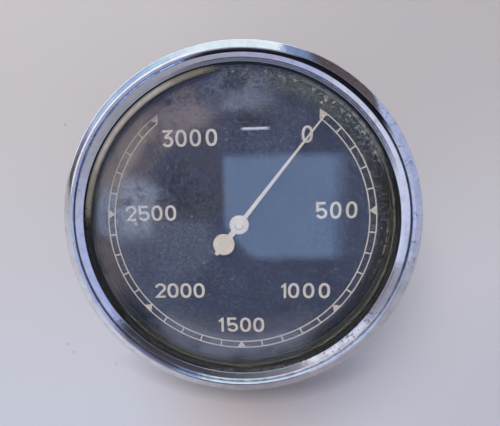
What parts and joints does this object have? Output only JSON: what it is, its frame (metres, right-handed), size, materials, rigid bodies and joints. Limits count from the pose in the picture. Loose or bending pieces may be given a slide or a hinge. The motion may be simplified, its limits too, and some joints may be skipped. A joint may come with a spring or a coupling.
{
  "type": "tachometer",
  "caption": "Round panel tachometer with a chrome bezel, black dial, cream pointer and a magnetic drag movement turned by a flexible shaft.",
  "frame": {"origin": "centre of the plane through the ends of the drive boss and the studs, on the dial's axis", "axes": "+Z out of the dial, +Y towards twelve o'clock, +X towards three o'clock"},
  "size_m": [0.1104, 0.1104, 0.071],
  "materials": {
    "chrome": "bright chrome plate on steel, fine pits",
    "glass": "clear flat glass, dusty inside",
    "rubber": "aged black rubber",
    "black_paint": "dull black paint",
    "case_paint": "satin black stove enamel",
    "dial_black": "matt black paint with dust",
    "cream_print": "aged cream printing",
    "pointer_cream": "aged cream paint",
    "steel": "turned steel",
    "spring_steel": "blued spring steel",
    "plated_steel": "zinc plated, dulled",
    "aluminium": "thin spun aluminium",
    "brass": "turned brass",
    "bronze": "sintered bronze",
    "spring_bronze": "rolled phosphor bronze strip",
    "zinc_casting": "zinc die casting, turned where it fits",
    "magnet": "ground magnet alloy",
    "soft_iron": "drawn soft iron",
    "jewel": "polished ruby"
  },
  "bodies": {
    "housing": {"bezel_ring": "chrome", "glass": "glass", "glass_gasket": "rubber", "panel_gasket": "rubber", "spacer_ring": "black_paint", "case_shell": "case_paint", "dial_plate": "dial_black", "dial_scale": "cream_print", "hairspring": "spring_bronze", "regulator_lever": "brass", "upper_bush": "bronze", "stop_pins": "steel", "bridge": "brass", "bridge_pillars": "steel", "bridge_screws": "steel", "base_plate": "zinc_casting", "pillars": "steel", "dial_carrier": "steel", "carrier_screws": "steel", "thrust_washer": "bronze", "lower_bush": "bronze", "drive_boss": "zinc_casting", "mounting_studs": "plated_steel", "stud_washers": "plated_steel", "stud_nuts": "plated_steel", "case_screws": "plated_steel"},
    "pointer_system": {"pointer": "pointer_cream", "pointer_bush": "pointer_cream", "pointer_staff": "steel", "drag_cup": "aluminium", "drag_hub": "brass", "hairspring_collet": "brass", "stop_arm": "brass"},
    "drive": {"drive_spindle": "steel", "magnet_hub": "brass", "magnet": "magnet", "return_cup": "soft_iron", "lower_jewel": "jewel", "spindle_clip": "spring_steel"}
  },
  "joints": [
    {"name": "pointer_turn", "type": "hinge", "parent": "housing", "child": "pointer_system", "pos_m": [0, 0, 0.05], "axis": [0, 0, 1], "range_deg": [-285, 0], "stiffness_Nm_per_rad": 0.0003, "deforming": ["hairspring"]},
    {"name": "drive_turn", "type": "hinge", "parent": "housing", "child": "drive", "pos_m": [0, 0, 0.02], "axis": [0, 0, 1], "continuous": true}
  ]
}
